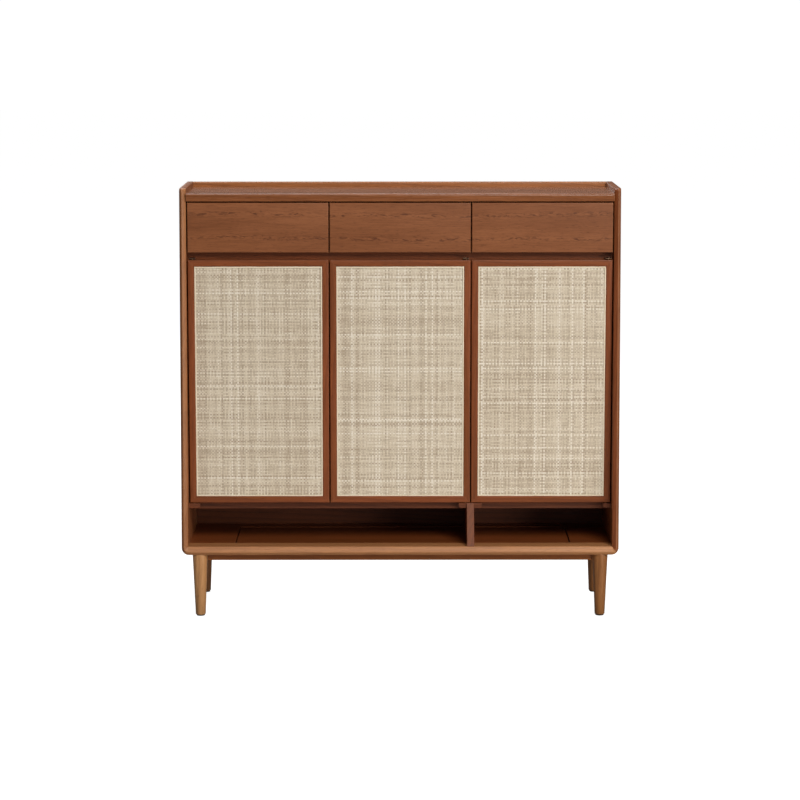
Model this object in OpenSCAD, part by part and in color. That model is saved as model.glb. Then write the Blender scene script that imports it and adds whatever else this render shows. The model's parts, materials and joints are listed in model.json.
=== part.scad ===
// Three-door shoe cabinet: woven rattan doors, three handle-less drawers above a finger recess,
// an open niche below the doors and four turned, tapered legs.
// The front faces -Y, +Z is up, and the origin is on the floor under the middle of the cabinet.

/* [Case] */
// Overall width across the side panels
case_w = 1200; // [1100:10:1300]
// Overall depth at the base
case_d = 360; // [340:5:400]
// Overall height, floor to the top of the side panels
case_h = 1176; // [1166:1:1182]
// Thickness of the side panels
side_t = 18; // [16:1:18]
// How far the front edge of the side panels leans back over its height
rake = 51; // [48:1:52]
// Radius of the lower outside corners
corner_r = 20; // [12:1:22]
// Radius of the front top corner of the side panels
ear_r = 10; // [4:1:12]
// Height of the side panels above the top panel
ear_h = 14; // [10:1:18]
// Thickness of the top panel
top_t = 21.5; // [19:0.5:24]
// Front edge of the top panel, measured back from the front of the base
top_setback = 49.5; // [48:0.5:51]
// Radius on the front top edge of the top panel
top_r = 6; // [2:1:8]
// Thickness of the gallery rail at the back of the top
gallery_t = 16; // [12:1:20]
// Radius on the top edges of the gallery rail
gallery_r = 5; // [2:1:7]
// Thickness of the back panel
back_t = 6; // [4:1:8]
// Distance from the back panel to the rear edge of the side panels
back_inset = 6; // [2:1:10]

/* [Base] */
// Height of the underside of the base above the floor
base_z = 173; // [165:1:173]
// Thickness of the base
base_t = 23; // [20:1:24]
// Depth of the front rail of the base
base_rail_front = 62; // [50:1:70]
// Depth of the rear rail of the base
base_rail_rear = 60; // [50:1:70]
// Width of the slots at the ends of the centre panel
slot_w = 3; // [2:0.5:5]
// Middle of the left slot
slot_left_x = -455; // [-470:1:-440]
// Middle of the right slot
slot_right_x = 470; // [440:1:480]
// How far the centre panel lies below the rails
panel_drop = 2; // [1:0.5:3]
// Radius on the front edges of the base
base_r = 6; // [2:1:8]
// Height of the aprons
apron_h = 19; // [15:1:25]
// Thickness of the aprons
apron_t = 20; // [15:1:22]

/* [Legs] */
// Diameter at the top of a leg
leg_top_d = 41.6; // [36:0.2:42]
// Diameter at the foot of a leg
leg_foot_d = 27.4; // [24:0.2:32]
// Distance of the front legs from the middle
leg_front_x = 551; // [545:1:555]
// Distance of the rear legs from the middle
leg_rear_x = 557; // [550:1:560]
// Distance of the front legs from the front of the base
leg_front_in = 27; // [24:1:30]
// Distance of the rear legs from the rear of the base
leg_rear_in = 24; // [22:1:30]
// Thickness of the felt foot pads
pad_t = 3; // [2:0.5:4]
// Diameter of the felt foot pads
pad_d = 23; // [18:1:24]
// Diameter of the leg bolts
bolt_d = 8; // [6:1:8]
// Length of a leg bolt inside the leg
bolt_low = 30; // [20:1:40]
// Length of a leg bolt inside the base
bolt_up = 17; // [12:1:18]

/* [Niche and compartments] */
// Clear height of the open niche
niche_h = 94; // [90:1:94]
// Thickness of the compartment floor
floor_t = 22; // [18:1:24]
// Thickness of the divider
divider_t = 20; // [16:1:22]
// Thickness of the adjustable shelves
shelf_t = 16; // [14:1:20]
// Height of the lower shelves above the compartment floor
shelf_low = 218; // [200:2:230]
// Height of the upper shelves above the compartment floor
shelf_high = 436; // [420:2:450]
// Diameter of the shelf pins
shelf_pin_d = 5; // [4:1:6]
// Length of the shelf pins
shelf_pin_len = 16; // [12:1:16]
// Distance of the front shelf pins from the front edge of the shelf
shelf_pin_in = 35; // [30:1:60]

/* [Fronts] */
// Setback of the door and drawer faces from the front of the base
face_setback = 52.5; // [52.5:0.5:54]
// Gap between neighbouring doors and drawers and at the ends
gap = 3; // [2.5:0.1:4]
// Height of the doors
door_h = 670.5; // [664:0.5:671]
// Thickness of doors and drawer fronts
front_t = 20; // [18:1:20]
// Visible width of the door frame
lip_w = 18; // [16:1:24]
// Full width of the door frame behind the rattan
stick_w = 55; // [45:1:60]
// Depth of the rebate that takes the rattan
rebate = 5; // [4:0.5:6]
// Chamfer on the inner edge of the door frame
lip_chamfer = 2; // [1:0.5:3]
// Radius on the outer edges of doors and drawer fronts
edge_r = 2.5; // [1.5:0.5:3]
// Width of the cane border that holds the rattan
spline_w = 4; // [3:0.5:6]
// Thickness of the rattan sheet
rattan_t = 2; // [1.5:0.5:2.5]
// Clear height of the finger recess between doors and drawers
recess_h = 20.5; // [18:0.5:22]
// Height of the drawer fronts
drawer_front_h = 135.5; // [126:0.5:136]

/* [Hinges and catches] */
// Diameter of the pivot pins
pivot_d = 5; // [4:0.5:6]
// Length of each pivot pin inside the door
pin_in_door = 14; // [10:1:16]
// Distance of the pivot from the door's side edge
pivot_in = 12; // [11.5:0.5:12.5]
// Distance of the pivot behind the door's face
pivot_back = 7; // [6:0.5:8]
// Width of the corner blocks under the doors
block_w = 22; // [20:1:26]
// Width of the corner block at the left end
block_left_w = 30; // [22:1:32]
// Height of the corner blocks
block_h = 13; // [10:1:16]
// Gap between a corner block and the door above it
block_gap = 2.5; // [2:0.5:4]
// Radius of the lower inner corner of the blocks
block_r = 8; // [3:1:9]
// Thickness of the steel top pivot brackets
bracket_t = 2; // [1.5:0.5:3]
// Width of the steel top pivot brackets
bracket_w = 16; // [12:1:18]

/* [Drawers] */
// Thickness of the mid rail
rail_t = 20; // [16:1:24]
// How far the mid rail overlaps the doors
rail_lap = 10; // [6:1:12]
// Distance of the mid rail behind the doors' backs
rail_back = 8.5; // [6:0.5:12]
// Thickness of the deck under the drawers
deck_t = 18; // [15:1:18]
// Thickness of the partitions between drawers
partition_t = 18; // [16:1:22]
// Thickness of the drawer sides and backs
drawer_side_t = 12; // [12:1:15]
// Height of the drawer sides
drawer_side_h = 116; // [100:1:120]
// Length of the drawer sides
drawer_len = 258; // [240:1:265]
// Thickness of the drawer bottoms
drawer_bottom_t = 6; // [4:1:8]
// Clearance between a drawer and its bay on each side
bay_gap = 3.5; // [3:0.5:5]
// Height of the wooden runners
runner_h = 12; // [10:1:16]
// Length of the wooden runners
runner_len = 235; // [220:1:240]
// Finger bevel on the lower back edge of the drawer fronts
finger_bevel = 10; // [6:1:12]

/* [Hidden] */
$fn = 48;

// Clearance of a pin in its hole, and an allowance for cuts that run past a face
fit = 0.05;
past = 1;

// Case outline
half_w = case_w / 2;
half_d = case_d / 2;
inner_w = case_w - 2 * side_t;
base_top = base_z + base_t;
top_z = case_h - ear_h - top_t;
gallery_y = half_d - gallery_t;
inner_back = half_d - back_inset - back_t;

// Fronts
face_y = -half_d + face_setback;
front_back = face_y + front_t;
front_w = (inner_w - 4 * gap) / 3;
pitch = front_w + gap;
floor_z = base_top + niche_h;
floor_top = floor_z + floor_t;
stop_gap = 4.5;
stop_y = front_back + stop_gap;
door_z = floor_top - 1.5;
door_top = door_z + door_h;
drawer_z = door_top + recess_h;
deck_top = drawer_z - 0.5;
divider_x = pitch / 2;
rail_y = front_back + rail_back;

// Legs and aprons; the leg axes are front left, front right, back left, back right
leg_r = leg_top_d / 2;
leg_front_y = -half_d + leg_front_in;
leg_rear_y = half_d - leg_rear_in;
leg_places = [
    [-leg_front_x, leg_front_y], [leg_front_x, leg_front_y],
    [-leg_rear_x, leg_rear_y], [leg_rear_x, leg_rear_y]
];
apron_z = [base_z - apron_h, base_z];
apron_gap = 0.5;
base_mid_y = [-half_d + base_rail_front, half_d - base_rail_rear];

// Drawer bays are equal, so the partitions stand a little outside the gaps between the fronts
bay_w = (inner_w - 2 * partition_t) / 3;
bay_pitch = bay_w + partition_t;
box_w = bay_w - 2 * bay_gap;
box_z = deck_top + 5;
bottom_z = box_z + 6;
bottom_groove = 5;
runner_z = box_z + drawer_side_h * 0.55;
runner_gap = 0.4;
runner_reach = 5;
runner_floor_gap = 1;
box_y = [front_back, front_back + drawer_len];

// Compartments left and right of the divider, from inner face to inner face
wide_x = [-inner_w / 2, divider_x - divider_t / 2];
narrow_x = [divider_x + divider_t / 2, inner_w / 2];
shelf_gap = 1.5;
shelf_y = rail_y + 4;
shelf_back = inner_back - 4;
shelf_heights = [floor_top + shelf_low, floor_top + shelf_high];

// The left door turns on its left edge, the other two on their right edges
hinge_side = [-1, 1, 1];
spline_sink = 1;
bracket_z = door_top + 3;
block_z = door_z - block_gap - block_h;
catch_in = 56;
catch_w = 36;
catch_h = 8;
catch_gap = 0.4;

wood = "saddlebrown";
pale_wood = "burlywood";

// ---- helpers ----

function front_x(i) = (i - 1) * pitch;
function bay_x(i) = (i - 1) * bay_pitch;
function pivot_x(i) = front_x(i) + hinge_side[i] * (front_w / 2 - pivot_in);
function rake_y(z) = -half_d + rake * (z - base_top) / (case_h - base_top);

module box(x, y, z) {
    translate([x[0], y[0], z[0]]) cube([x[1] - x[0], y[1] - y[0], z[1] - z[0]]);
}

// A drawing in X and Z, given thickness along Y
module along_y(y) {
    translate([0, y[1], 0]) rotate([90, 0, 0]) linear_extrude(y[1] - y[0]) children();
}

// A drawing in Y and Z, given thickness along X
module along_x(x) {
    translate([x[0], 0, 0]) rotate([90, 0, 90]) linear_extrude(x[1] - x[0]) children();
}

// What a quarter-round edge takes off a corner whose two faces meet at the drawing's origin
module corner_waste(r) {
    difference() {
        translate([-past, -past]) square(r + past);
        translate([r, r]) circle(r);
    }
}

// A board seen from its end, with its front edges rounded
module nosed_board(y, z, r_low, r_top) {
    difference() {
        translate([y[0], z[0]]) square([y[1] - y[0], z[1] - z[0]]);
        translate([y[0], z[0]]) corner_waste(r_low);
        translate([y[0], z[1]]) mirror([0, 1]) corner_waste(r_top);
    }
}

// ---- sides, top and back ----

// Front view of the shell, with rounded lower corners
module shell_outline() {
    translate([-half_w, base_z + corner_r]) square([case_w, case_h - base_z - corner_r]);
    translate([-half_w + corner_r, base_z]) square([case_w - 2 * corner_r, corner_r]);
    for (s = [-1, 1])
        translate([s * (half_w - corner_r), base_z + corner_r]) circle(corner_r);
}

// Side view of a side panel: raked front edge with a rounded top corner
module side_outline() {
    slope = atan2(rake, case_h - base_top);
    tangent_z = case_h - ear_r + ear_r * sin(slope);
    centre_y = rake_y(tangent_z) + ear_r * cos(slope);
    polygon([
        [-half_d, base_z], [half_d, base_z], [half_d, case_h], [centre_y, case_h],
        [centre_y, case_h - ear_r], [rake_y(tangent_z), tangent_z], [-half_d, base_top]
    ]);
    translate([centre_y, case_h - ear_r]) circle(ear_r);
}

// Front view of the left side panel, mitred to the base
module side_end() {
    intersection() {
        shell_outline();
        polygon([
            [-half_w, base_z], [-inner_w / 2, base_top], [-inner_w / 2, case_h], [-half_w, case_h]
        ]);
    }
}

module side_shape(holes_x) {
    difference() {
        intersection() {
            along_y([-half_d, half_d]) side_end();
            along_x([-half_w, -inner_w / 2]) side_outline();
        }
        shelf_holes(holes_x);
    }
}

module side_left() {
    color(wood) side_shape(wide_x[0]);
}

module side_right() {
    color(wood) mirror([1, 0, 0]) side_shape(-narrow_x[1]);
}

module top_panel() {
    color(wood)
        along_x([-inner_w / 2, inner_w / 2])
            nosed_board([-half_d + top_setback, gallery_y], [top_z, top_z + top_t], 2, top_r);
}

// The gallery rail is glued to the rear edge of the top panel and stands above it
module gallery() {
    color(wood)
        along_x([-inner_w / 2, inner_w / 2])
            difference() {
                translate([gallery_y, top_z]) square([gallery_t, case_h - top_z]);
                translate([gallery_y, case_h]) mirror([0, 1]) corner_waste(gallery_r);
                translate([half_d, case_h]) rotate(180) corner_waste(gallery_r);
            }
}

module back_panel() {
    color(wood)
        box([-inner_w / 2, inner_w / 2], [inner_back, inner_back + back_t], [base_top, top_z]);
}

// ---- base, aprons and legs ----

// Front view of the base between the mitres
module base_end() {
    intersection() {
        shell_outline();
        polygon([
            [-half_w, base_z], [half_w, base_z], [inner_w / 2, base_top], [-inner_w / 2, base_top]
        ]);
    }
}

module base_front() {
    y = [-half_d, -half_d + base_rail_front];
    color(wood)
        difference() {
            intersection() {
                along_y(y) base_end();
                along_x([-half_w, half_w]) nosed_board(y, [base_z, base_top], base_r, base_r);
            }
            leg_bolt_holes();
        }
}

module base_rear() {
    color(wood)
        difference() {
            along_y([half_d - base_rail_rear, half_d]) base_end();
            leg_bolt_holes();
        }
}

module base_centre() {
    color(wood)
        box([slot_left_x + slot_w / 2, slot_right_x - slot_w / 2], base_mid_y,
            [base_z, base_top - panel_drop]);
}

module base_end_board(x) {
    intersection() {
        along_y(base_mid_y) base_end();
        box(x, base_mid_y, [base_z, base_top]);
    }
}

module base_end_left() {
    color(wood) base_end_board([-half_w, slot_left_x - slot_w / 2]);
}

module base_end_right() {
    color(wood) base_end_board([slot_right_x + slot_w / 2, half_w]);
}

module apron_front() {
    reach = leg_front_x - leg_r - apron_gap;
    y = leg_front_y + 3;
    color(wood) box([-reach, reach], [y, y + apron_t], apron_z);
}

module apron_back() {
    reach = leg_rear_x - leg_r - apron_gap;
    y = leg_rear_y + 4;
    color(wood) box([-reach, reach], [y - apron_t, y], apron_z);
}

module apron_sides() {
    middle_x = (leg_front_x + leg_rear_x) / 2;
    y = [leg_front_y + leg_r + apron_gap, leg_rear_y - leg_r - apron_gap];
    for (s = [-1, 1])
        color(wood)
            box([s * middle_x - apron_t / 2, s * middle_x + apron_t / 2], y, apron_z);
}

module leg(i) {
    color(pale_wood)
        difference() {
            translate([leg_places[i].x, leg_places[i].y, pad_t])
                cylinder(h = base_z - pad_t, d1 = leg_foot_d, d2 = leg_top_d);
            leg_bolt_holes();
        }
}

module leg_front_left() { leg(0); }
module leg_front_right() { leg(1); }
module leg_back_left() { leg(2); }
module leg_back_right() { leg(3); }

module leg_bolt_set(d) {
    for (p = leg_places)
        translate([p.x, p.y, base_z - bolt_low]) cylinder(h = bolt_low + bolt_up, d = d);
}

module leg_bolt_holes() { leg_bolt_set(bolt_d + 2 * fit); }

module leg_bolts() {
    color("silver") leg_bolt_set(bolt_d);
}

module foot_pads() {
    for (p = leg_places)
        color("dimgray") translate([p.x, p.y, 0]) cylinder(h = pad_t, d = pad_d);
}

// ---- niche, compartments and shelves ----

// The niche divider's front edge slopes from the base out to the corner blocks' front
module niche_divider() {
    color(wood)
        along_x([divider_x - divider_t / 2, divider_x + divider_t / 2])
            polygon([
                [-half_d + base_r, base_top],
                [base_mid_y[0], base_top], [base_mid_y[0], base_top - panel_drop],
                [base_mid_y[1], base_top - panel_drop], [base_mid_y[1], base_top],
                [inner_back, base_top], [inner_back, door_z - 1], [face_y, door_z - 1]
            ]);
}

// The divider is notched over the back of the mid rail
module divider() {
    color(wood)
        difference() {
            box([divider_x - divider_t / 2, divider_x + divider_t / 2], [stop_y, inner_back],
                [door_z - 1, deck_top - deck_t]);
            box([divider_x - divider_t, divider_x + divider_t], [stop_y - past, rail_y + rail_t],
                [door_top - rail_lap, deck_top]);
            shelf_holes(wide_x[1]);
            shelf_holes(narrow_x[0]);
        }
}

module floor_left() {
    color(wood) box(wide_x, [stop_y, inner_back], [floor_z, floor_top]);
}

module floor_right() {
    color(wood) box(narrow_x, [stop_y, inner_back], [floor_z, floor_top]);
}

module shelves(x) {
    for (z = shelf_heights)
        color(wood)
            box([x[0] + shelf_gap, x[1] - shelf_gap], [shelf_y, shelf_back], [z, z + shelf_t]);
}

module shelves_wide() { shelves(wide_x); }
module shelves_narrow() { shelves(narrow_x); }

// Shelf pins that stand half in the wall at x, under each shelf's front and back
module shelf_pin_set(x, d) {
    for (z = shelf_heights, y = [shelf_y + shelf_pin_in, shelf_back - shelf_pin_in])
        translate([x, y, z - shelf_pin_d / 2])
            rotate([0, 90, 0]) cylinder(h = shelf_pin_len, d = d, center = true);
}

module shelf_holes(x) { shelf_pin_set(x, shelf_pin_d + 2 * fit); }

module shelf_pins() {
    color("silver")
        for (x = concat(wide_x, narrow_x))
            shelf_pin_set(x, shelf_pin_d);
}

// ---- mid rail, drawer deck and partitions ----

module mid_rail() {
    color(wood)
        box([-inner_w / 2, inner_w / 2], [rail_y, rail_y + rail_t], [door_top - rail_lap, deck_top]);
}

module deck() {
    color(wood)
        box([-inner_w / 2, inner_w / 2], [rail_y + rail_t, inner_back], [deck_top - deck_t, deck_top]);
}

module drawer_partitions() {
    for (s = [-1, 1])
        color(wood)
            translate([s * bay_pitch / 2, 0, 0])
                box([-partition_t / 2, partition_t / 2], [stop_y, inner_back], [deck_top, top_z]);
}

module drawer_runners() {
    reach = bay_gap + runner_reach;
    for (i = [0:2], s = [-1, 1])
        color(pale_wood)
            translate([bay_x(i) + s * (bay_w - reach) / 2, rail_y + 4, runner_z])
                translate([-reach / 2, 0, 0]) cube([reach, runner_len, runner_h]);
}

// ---- door hardware on the case ----

// Each block has its inner lower corner rounded; side is +1 where the wall is on its left
module corner_block(wall_x, side, width) {
    along_y([face_y + 2.5, stop_y])
        translate([wall_x, block_z])
            mirror([side > 0 ? 0 : 1, 0])
                difference() {
                    square([width, block_h]);
                    translate([width, 0]) mirror([1, 0]) corner_waste(block_r);
                }
}

module corner_blocks() {
    color(wood)
        difference() {
            union() {
                corner_block(wide_x[0], 1, block_left_w);
                corner_block(wide_x[1], -1, block_w);
                corner_block(narrow_x[0], 1, block_w);
                corner_block(narrow_x[1], -1, block_w);
            }
            for (i = [0:2])
                pivot_pin(i, block_z + 2, door_z, pivot_d + 2 * fit);
        }
}

// Steel angle over each door's hinge corner: the plate takes the top pin, and the flange hangs down
// against the mid rail behind the door
module top_brackets() {
    x = [-bracket_w / 2, bracket_w / 2];
    color("silver")
        for (i = [0:2])
            difference() {
                translate([pivot_x(i), 0, 0]) {
                    box(x, [face_y + 1, rail_y], [bracket_z, bracket_z + bracket_t]);
                    box(x, [rail_y - bracket_t, rail_y], [door_top - rail_lap, bracket_z]);
                }
                pivot_pin(i, door_top, bracket_z + bracket_t + past, pivot_d + 2 * fit);
            }
}

// A catch meets the top of each door near its free edge
module catch_magnets() {
    for (i = [0:2])
        color("dimgray")
            translate([front_x(i) - hinge_side[i] * (front_w / 2 - catch_in), 0, 0])
                box([-catch_w / 2, catch_w / 2], [front_back + catch_gap, rail_y],
                    [door_top - rail_lap, door_top - rail_lap + catch_h]);
}

// ---- doors ----

module pivot_pin(i, z0, z1, d) {
    translate([pivot_x(i), face_y + pivot_back, z0]) cylinder(h = z1 - z0, d = d);
}

module pivot_pins(i, d) {
    pivot_pin(i, block_z + 2.5, door_z + pin_in_door, d);
    pivot_pin(i, door_top - pin_in_door, bracket_z + bracket_t + 0.5, d);
}

// Section of a frame stick: outer edge at 0 with rounded corners, inner side rebated for the rattan
module stick_section() {
    difference() {
        square([stick_w, front_t]);
        corner_waste(edge_r);
        translate([0, front_t]) mirror([0, 1]) corner_waste(edge_r);
        translate([lip_w, -past]) square([stick_w, rebate + past]);
        polygon([
            [lip_w - lip_chamfer, -past], [lip_w + past, -past],
            [lip_w + past, lip_chamfer + past], [lip_w, lip_chamfer], [lip_w - lip_chamfer, 0]
        ]);
    }
}

module mitred_stile() {
    intersection() {
        linear_extrude(door_h) stick_section();
        along_y([-past, front_t + past])
            polygon([[0, 0], [stick_w, stick_w], [stick_w, door_h - stick_w], [0, door_h]]);
    }
}

module mitred_rail() {
    intersection() {
        translate([front_w, 0, 0]) rotate([0, -90, 0]) linear_extrude(front_w) stick_section();
        along_y([-past, front_t + past])
            polygon([[0, 0], [front_w, 0], [front_w - stick_w, stick_w], [stick_w, stick_w]]);
    }
}

module door_stiles(i) {
    color(wood)
        difference() {
            for (s = [-1, 1])
                translate([front_x(i) + s * front_w / 2, face_y, door_z])
                    mirror([s > 0 ? 1 : 0, 0, 0]) mitred_stile();
            pivot_pins(i, pivot_d + 2 * fit);
        }
}

module door_rails(i) {
    color(wood)
        difference() {
            translate([front_x(i) - front_w / 2, face_y, 0]) {
                translate([0, 0, door_z]) mitred_rail();
                translate([0, 0, door_top]) mirror([0, 0, 1]) mitred_rail();
            }
            pivot_pins(i, pivot_d + 2 * fit);
        }
}

module door_rattan(i) {
    x = front_w / 2 - lip_w;
    y = face_y + rebate;
    color("wheat")
        translate([front_x(i), 0, 0])
            box([-x, x], [y - rattan_t, y], [door_z + lip_w, door_top - lip_w]);
}

module door_spline(i) {
    x = front_w / 2 - lip_w;
    y = face_y + spline_sink;
    color("linen")
        translate([front_x(i), 0, 0])
            difference() {
                box([-x, x], [y, face_y + rebate - rattan_t], [door_z + lip_w, door_top - lip_w]);
                box([-x + spline_w, x - spline_w], [y - past, y + rebate],
                    [door_z + lip_w + spline_w, door_top - lip_w - spline_w]);
            }
}

module door_pivots(i) {
    color("silver") pivot_pins(i, pivot_d);
}

module door_left_stiles() { door_stiles(0); }
module door_left_rails() { door_rails(0); }
module door_left_rattan() { door_rattan(0); }
module door_left_spline() { door_spline(0); }
module door_left_pivots() { door_pivots(0); }
module door_centre_stiles() { door_stiles(1); }
module door_centre_rails() { door_rails(1); }
module door_centre_rattan() { door_rattan(1); }
module door_centre_spline() { door_spline(1); }
module door_centre_pivots() { door_pivots(1); }
module door_right_stiles() { door_stiles(2); }
module door_right_rails() { door_rails(2); }
module door_right_rattan() { door_rattan(2); }
module door_right_spline() { door_spline(2); }
module door_right_pivots() { door_pivots(2); }

// ---- drawers ----

module drawer_front(i) {
    color(wood)
        translate([front_x(i), 0, 0])
            intersection() {
                along_x([-front_w / 2, front_w / 2])
                    difference() {
                        nosed_board([face_y, front_back], [drawer_z, drawer_z + drawer_front_h],
                            edge_r, edge_r);
                        polygon([
                            [front_back - finger_bevel, drawer_z],
                            [front_back - finger_bevel, drawer_z - past],
                            [front_back + past, drawer_z - past],
                            [front_back + past, drawer_z + 1.2 * finger_bevel],
                            [front_back, drawer_z + 1.2 * finger_bevel]
                        ]);
                    }
                linear_extrude(case_h)
                    difference() {
                        translate([-front_w / 2, face_y]) square([front_w, front_t]);
                        for (s = [0, 1])
                            mirror([s, 0]) translate([-front_w / 2, face_y]) corner_waste(edge_r);
                    }
            }
}

// A drawer side is grooved outside for the runner and inside for the bottom
module drawer_side() {
    outside = -box_w / 2;
    difference() {
        box([outside, outside + drawer_side_t], box_y, [box_z, box_z + drawer_side_h]);
        box([outside - past, outside + runner_reach + runner_floor_gap],
            [box_y[0] - past, box_y[1] + past],
            [runner_z - runner_gap, runner_z + runner_h + runner_gap]);
        box([outside + drawer_side_t - bottom_groove, outside + drawer_side_t + past],
            [box_y[0] - past, box_y[1] + past], [bottom_z, bottom_z + drawer_bottom_t]);
    }
}

module drawer_sides(i) {
    color(pale_wood)
        translate([bay_x(i), 0, 0])
            for (s = [0, 1])
                mirror([s, 0, 0]) drawer_side();
}

module drawer_back(i) {
    x = box_w / 2 - drawer_side_t;
    color(pale_wood)
        translate([bay_x(i), 0, 0])
            box([-x, x], [box_y[1] - drawer_side_t, box_y[1]],
                [bottom_z + drawer_bottom_t, box_z + drawer_side_h - 6]);
}

module drawer_bottom(i) {
    x = box_w / 2 - drawer_side_t + bottom_groove;
    color(pale_wood)
        translate([bay_x(i), 0, 0]) box([-x, x], box_y, [bottom_z, bottom_z + drawer_bottom_t]);
}

module drawer_left_front() { drawer_front(0); }
module drawer_left_sides() { drawer_sides(0); }
module drawer_left_back() { drawer_back(0); }
module drawer_left_bottom() { drawer_bottom(0); }
module drawer_centre_front() { drawer_front(1); }
module drawer_centre_sides() { drawer_sides(1); }
module drawer_centre_back() { drawer_back(1); }
module drawer_centre_bottom() { drawer_bottom(1); }
module drawer_right_front() { drawer_front(2); }
module drawer_right_sides() { drawer_sides(2); }
module drawer_right_back() { drawer_back(2); }
module drawer_right_bottom() { drawer_bottom(2); }

side_left();
side_right();
top_panel();
gallery();
base_front();
base_rear();
base_centre();
base_end_left();
base_end_right();
apron_front();
apron_back();
apron_sides();
leg_front_left();
leg_front_right();
leg_back_left();
leg_back_right();
leg_bolts();
foot_pads();
niche_divider();
divider();
floor_left();
floor_right();
corner_blocks();
top_brackets();
catch_magnets();
mid_rail();
deck();
drawer_partitions();
drawer_runners();
back_panel();
shelves_wide();
shelves_narrow();
shelf_pins();
door_left_stiles();
door_left_rails();
door_left_rattan();
door_left_spline();
door_left_pivots();
door_centre_stiles();
door_centre_rails();
door_centre_rattan();
door_centre_spline();
door_centre_pivots();
door_right_stiles();
door_right_rails();
door_right_rattan();
door_right_spline();
door_right_pivots();
drawer_left_front();
drawer_left_sides();
drawer_left_back();
drawer_left_bottom();
drawer_centre_front();
drawer_centre_sides();
drawer_centre_back();
drawer_centre_bottom();
drawer_right_front();
drawer_right_sides();
drawer_right_back();
drawer_right_bottom();
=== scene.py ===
import json
import math
import random

import bmesh
import bpy
import numpy as np
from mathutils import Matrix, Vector


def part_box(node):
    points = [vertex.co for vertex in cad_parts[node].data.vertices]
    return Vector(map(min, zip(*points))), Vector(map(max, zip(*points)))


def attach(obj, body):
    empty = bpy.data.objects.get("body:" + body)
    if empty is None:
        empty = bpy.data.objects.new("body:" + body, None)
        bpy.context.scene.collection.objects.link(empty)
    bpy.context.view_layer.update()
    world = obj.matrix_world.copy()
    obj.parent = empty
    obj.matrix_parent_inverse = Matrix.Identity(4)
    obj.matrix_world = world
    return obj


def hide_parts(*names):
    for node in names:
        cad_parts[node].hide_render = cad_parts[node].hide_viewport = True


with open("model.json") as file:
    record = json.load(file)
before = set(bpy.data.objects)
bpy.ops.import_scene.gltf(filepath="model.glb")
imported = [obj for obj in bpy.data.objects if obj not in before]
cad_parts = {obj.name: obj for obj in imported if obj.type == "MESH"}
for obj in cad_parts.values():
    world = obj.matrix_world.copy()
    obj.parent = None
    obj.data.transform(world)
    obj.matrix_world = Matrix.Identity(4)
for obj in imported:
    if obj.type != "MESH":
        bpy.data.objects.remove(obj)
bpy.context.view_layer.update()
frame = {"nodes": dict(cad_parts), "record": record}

MM = 0.001
WEAVE_SEED = 27
rng = random.Random(WEAVE_SEED)


# ---- materials ----

def linear(code):
    """The linear colour of an sRGB hex value."""
    parts = [int(code[i:i + 2], 16) / 255 for i in (0, 2, 4)]
    return tuple(c / 12.92 if c <= 0.04045 else ((c + 0.055) / 1.055) ** 2.4 for c in parts) + (1.0,)


def add(tree, kind, inputs=None, **settings):
    """Adds a node; each input is a value or the socket that feeds it."""
    made = tree.nodes.new(kind)
    for key, value in settings.items():
        setattr(made, key, value)
    for key, value in (inputs or {}).items():
        if isinstance(value, bpy.types.NodeSocket):
            tree.links.new(value, made.inputs[key])
        else:
            made.inputs[key].default_value = value
    return made


def new_material(name):
    """An empty node material and its output node."""
    material = bpy.data.materials.new(name)
    material.use_nodes = True
    material.node_tree.nodes.clear()
    return material, add(material.node_tree, "ShaderNodeOutputMaterial")


# A mapping turns the grain, which runs along X in the pattern, along the board
GRAIN_TURN = {"x": (0, 0, 0), "y": (0, 0, math.radians(90)), "z": (0, math.radians(90), 0)}

# Wood patterns, in repeats a metre along the grain and in the two directions across it
WANDER_SCALE = (1.9, 7.0, 7.0)
# The grain wanders by about 14 mm, the middle part of a noise 34 mm high
WANDER = (0.0, 34 * MM, 34 * MM)
# Broad colour drift, 70 mm across the grain
DRIFT_SCALE = (1.5, 14.0, 14.0)
# Growth lines, 17 mm apart across the grain: a band takes 0.63 of a repeat
RING_SCALE = (1.6, 37.0, 37.0)
# Fibre streaks, drawn 2.5 mm wide: real ones are a third of that and would not show
FIBRE_SCALE = (13.0, 400.0, 400.0)
# Pores, short dark dashes 1 mm wide and 16 mm long, as coarse as they need to be to show
PORE_SCALE = (60.0, 950.0, 950.0)
# Ragged flecks 20 mm long and 4 mm high, in a band that is full for 1 mm and gone 9 mm from its middle
FLECK_SCALE = (48.0, 260.0, 260.0)
FLECK_FULL = 1 * MM
FLECK_GONE = 9 * MM
FIBRE_RELIEF = 0.12 * MM
# A pale tan, mixed into the arris woods as a painted highlight where light catches an edge
ARRIS_HIGHLIGHT_TONE = "C99367"
LACQUER_IOR = 1.5


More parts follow.
